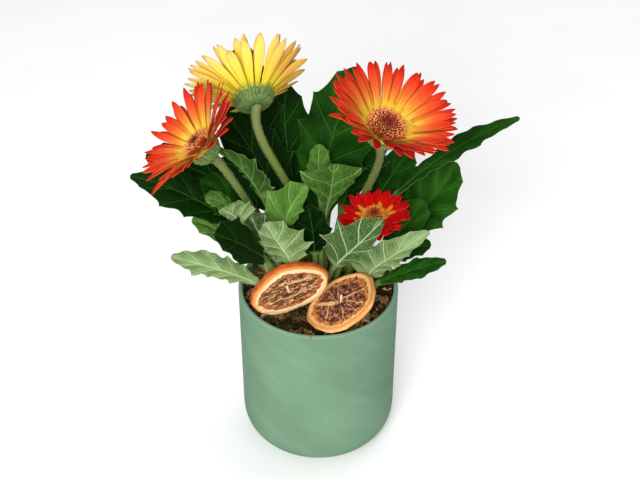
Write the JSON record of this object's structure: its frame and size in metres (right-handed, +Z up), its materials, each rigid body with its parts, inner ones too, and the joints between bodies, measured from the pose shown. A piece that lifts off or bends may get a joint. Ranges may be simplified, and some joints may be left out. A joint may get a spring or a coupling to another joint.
{
  "type": "potted gerbera",
  "caption": "Gerbera in a sage-green ceramic cover pot, with daisy blooms on bare scapes above a rosette of lobed leaves and dried orange slices on picks in the soil.",
  "frame": {"origin": "centre of the pot's flat base, on the surface it stands on", "axes": "+Z up along the pot's axis, -Y towards the side the blooms and slices face, +X to the right seen from there"},
  "size_m": [0.3226, 0.2144, 0.3862],
  "materials": {
    "pot_glaze": "satin sage-green glaze over ceramic, fine pale speckle",
    "soil": "moist dark peat with bark, coir fibre and moss",
    "leaf_dark": "deep green upper leaf surface, softly waxy, sunken pale veins",
    "leaf_pale": "grey-green downy leaf underside with raised pale veins",
    "leaf_fresh": "mid-green young leaf, softly waxy",
    "scape": "pale olive stem with short white hairs",
    "ray_orange": "velvety orange-red petals with a yellow base",
    "ray_yellow": "velvety yellow petals tinged orange",
    "ray_red": "velvety scarlet petals with a pale edge",
    "disc_brown": "fine coral and maroon florets",
    "disc_yellow": "fine yellow and brown florets",
    "dried_orange": "dried peel and pith, dark crumpled flesh",
    "pick_wood": "plain pale wood"
  },
  "bodies": {
    "root": {"leaf_back_right": "leaf_dark", "leaf_back_inner": "leaf_dark", "leaf_back_middle": "leaf_dark", "leaf_back_left": "leaf_dark", "leaf_back_tall": "leaf_dark", "leaf_left_large": "leaf_dark", "leaf_left_rear": "leaf_dark", "leaf_left_inner": "leaf_dark", "leaf_left_young": "leaf_fresh", "leaf_left_low_dark": "leaf_dark", "leaf_left_low": "leaf_pale", "leaf_front_left": "leaf_pale", "leaf_front_ribbed": "leaf_pale", "leaf_centre_round": "leaf_fresh", "leaf_centre_fan": "leaf_fresh", "leaf_centre_upright": "leaf_fresh", "leaf_left_upper": "leaf_fresh", "leaf_right_long": "leaf_dark", "leaf_right_large": "leaf_dark", "leaf_right_round": "leaf_dark", "leaf_right_curled": "leaf_dark", "leaf_front_right_large": "leaf_pale", "leaf_front_right": "leaf_pale", "leaf_right_low": "leaf_dark", "leaf_right_hooked": "leaf_dark", "leaf_left_small": "leaf_fresh", "leaf_left_curled": "leaf_pale", "leaf_centre_low": "leaf_dark", "leaf_rear_left": "leaf_dark", "leaf_rear": "leaf_dark", "leaf_rear_right": "leaf_dark", "bloom_right_scape": "scape", "bloom_right_rays": "ray_orange", "bloom_right_disc": "disc_brown", "bloom_left_scape": "scape", "bloom_left_rays": "ray_orange", "bloom_left_disc": "disc_brown", "bloom_top_scape": "scape", "bloom_top_rays": "ray_yellow", "bloom_top_disc": "disc_yellow", "bloom_low_scape": "scape", "bloom_low_rays": "ray_red", "bloom_low_disc": "disc_yellow", "orange_slice_left": "dried_orange", "orange_slice_left_pick": "pick_wood", "orange_slice_right": "dried_orange", "orange_slice_right_pick": "pick_wood", "soil": "soil", "pot": "pot_glaze"}
  },
  "joints": []
}
